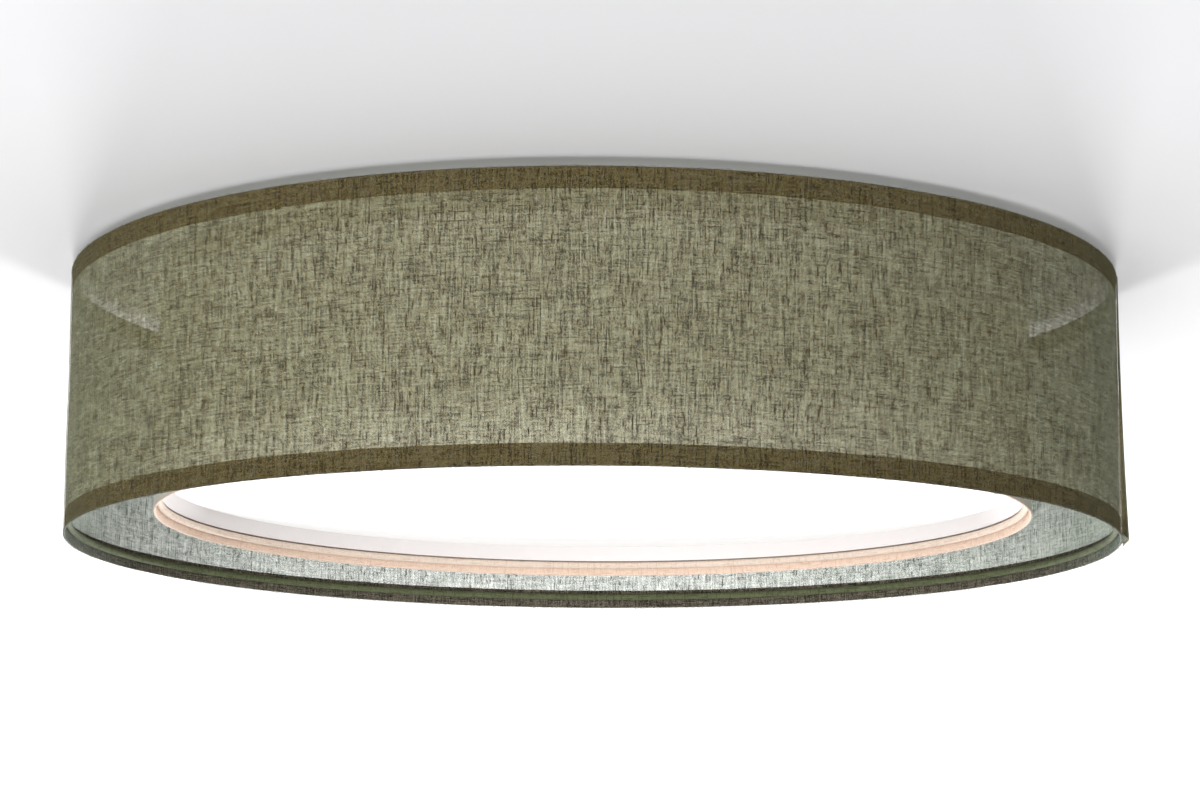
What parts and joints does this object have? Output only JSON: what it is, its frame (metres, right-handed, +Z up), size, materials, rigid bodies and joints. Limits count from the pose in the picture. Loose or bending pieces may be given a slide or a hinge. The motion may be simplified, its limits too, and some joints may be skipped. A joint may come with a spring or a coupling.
{
  "type": "flush mount ceiling light",
  "caption": "Flush ceiling light with a wide linen drum shade round a smaller ivory drum, an opal diffuser disc below and lamps lying flat round a small canopy.",
  "frame": {"origin": "on the ceiling plane, at the centre of the ceiling bracket and of its two screw slots", "axes": "+Z up into the ceiling along the stem and the drums' common axis, +X along the bracket towards the side near the outer drum's seam; the picture looks along +Y from below"},
  "size_m": [0.6, 0.6, 0.156],
  "materials": {
    "linen_cloth": "open linen weave with slubs, taupe to olive",
    "ivory_cloth": "fine close weave, ivory, faintly peach at the hems",
    "clear_film": "clear film",
    "ring_wire": "white coated wire",
    "white_enamel": "satin white enamel",
    "white_profile": "matt white",
    "opal_disc": "opal white, satin",
    "zinc_steel": "zinc plated",
    "bright_nickel": "bright nickel",
    "brass": "plain brass",
    "block_nylon": "natural nylon",
    "holder_moulding": "white moulding",
    "cap_metal": "plain aluminium",
    "bulb_moulding": "white moulding",
    "opal_globe": "opal, satin",
    "grommet_rubber": "soft grey rubber",
    "lead_sheath": "white sheath"
  },
  "bodies": {
    "ceiling_base": {"bracket_rivets": "zinc_steel", "bracket_studs": "zinc_steel", "canopy": "white_enamel", "ceiling_bracket": "zinc_steel", "earth_screw": "zinc_steel", "holder_body_1": "holder_moulding", "holder_body_2": "holder_moulding", "holder_body_3": "holder_moulding", "holder_contacts": "brass", "holder_nipples": "zinc_steel", "holder_plate_1": "white_enamel", "holder_plate_2": "white_enamel", "holder_plate_3": "white_enamel", "holder_sleeve_1": "brass", "holder_sleeve_2": "brass", "holder_sleeve_3": "brass", "lamp_lead_1": "lead_sheath", "lamp_lead_2": "lead_sheath", "lamp_lead_3": "lead_sheath", "lead_grommets": "grommet_rubber", "stem": "zinc_steel", "stem_nuts": "zinc_steel", "terminal_block": "block_nylon", "terminal_inserts": "brass", "terminal_screws": "zinc_steel"},
    "shade": {"fitter_hub": "white_enamel", "inner_cloth": "ivory_cloth", "inner_hem_bottom": "ivory_cloth", "inner_hem_top": "ivory_cloth", "inner_liner": "clear_film", "inner_ring_bottom": "ring_wire", "inner_ring_top": "ring_wire", "inner_seam": "ivory_cloth", "ledge_ring": "white_profile", "outer_cloth": "linen_cloth", "outer_hem_bottom": "linen_cloth", "outer_hem_top": "linen_cloth", "outer_liner": "clear_film", "outer_ring_bottom": "ring_wire", "outer_ring_top": "ring_wire", "outer_seam": "linen_cloth", "spider_arm_1": "white_enamel", "spider_arm_2": "white_enamel", "spider_arm_3": "white_enamel"},
    "diffuser": {"diffuser_disc": "opal_disc"},
    "fixing_nut": {"shade_nut": "bright_nickel"},
    "cap_nut_left": {"cap_nut_1": "bright_nickel"},
    "cap_nut_right": {"cap_nut_2": "bright_nickel"},
    "bulb_1": {"bulb_cap_1": "cap_metal", "bulb_housing_1": "bulb_moulding", "bulb_globe_1": "opal_globe"},
    "bulb_2": {"bulb_cap_2": "cap_metal", "bulb_housing_2": "bulb_moulding", "bulb_globe_2": "opal_globe"},
    "bulb_3": {"bulb_cap_3": "cap_metal", "bulb_housing_3": "bulb_moulding", "bulb_globe_3": "opal_globe"}
  },
  "joints": [
    {"name": "shade_lower", "type": "slide", "parent": "ceiling_base", "child": "shade", "axis": [0, 0, -1], "range_m": [0, 0.18]},
    {"name": "diffuser_lift", "type": "slide", "parent": "shade", "child": "diffuser", "axis": [0, 0, 1], "range_m": [0, 0.025]},
    {"name": "fixing_nut_turn", "type": "hinge", "parent": "shade", "child": "fixing_nut", "pos_m": [0, 0, -0.0396], "axis": [0, 0, 1], "continuous": true},
    {"name": "cap_nut_left_turn", "type": "hinge", "parent": "ceiling_base", "child": "cap_nut_left", "pos_m": [-0.056, 0, -0.028], "axis": [0, 0, 1], "continuous": true},
    {"name": "cap_nut_right_turn", "type": "hinge", "parent": "ceiling_base", "child": "cap_nut_right", "pos_m": [0.056, 0, -0.028], "axis": [0, 0, 1], "continuous": true},
    {"name": "bulb_1_out", "type": "slide", "parent": "ceiling_base", "child": "bulb_1", "axis": [0.81, -0.5864, 0], "range_m": [0, 0.032]},
    {"name": "bulb_2_out", "type": "slide", "parent": "ceiling_base", "child": "bulb_2", "axis": [0.1028, 0.9947, 0], "range_m": [0, 0.032]},
    {"name": "bulb_3_out", "type": "slide", "parent": "ceiling_base", "child": "bulb_3", "axis": [-0.9128, -0.4083, 0], "range_m": [0, 0.032]}
  ]
}
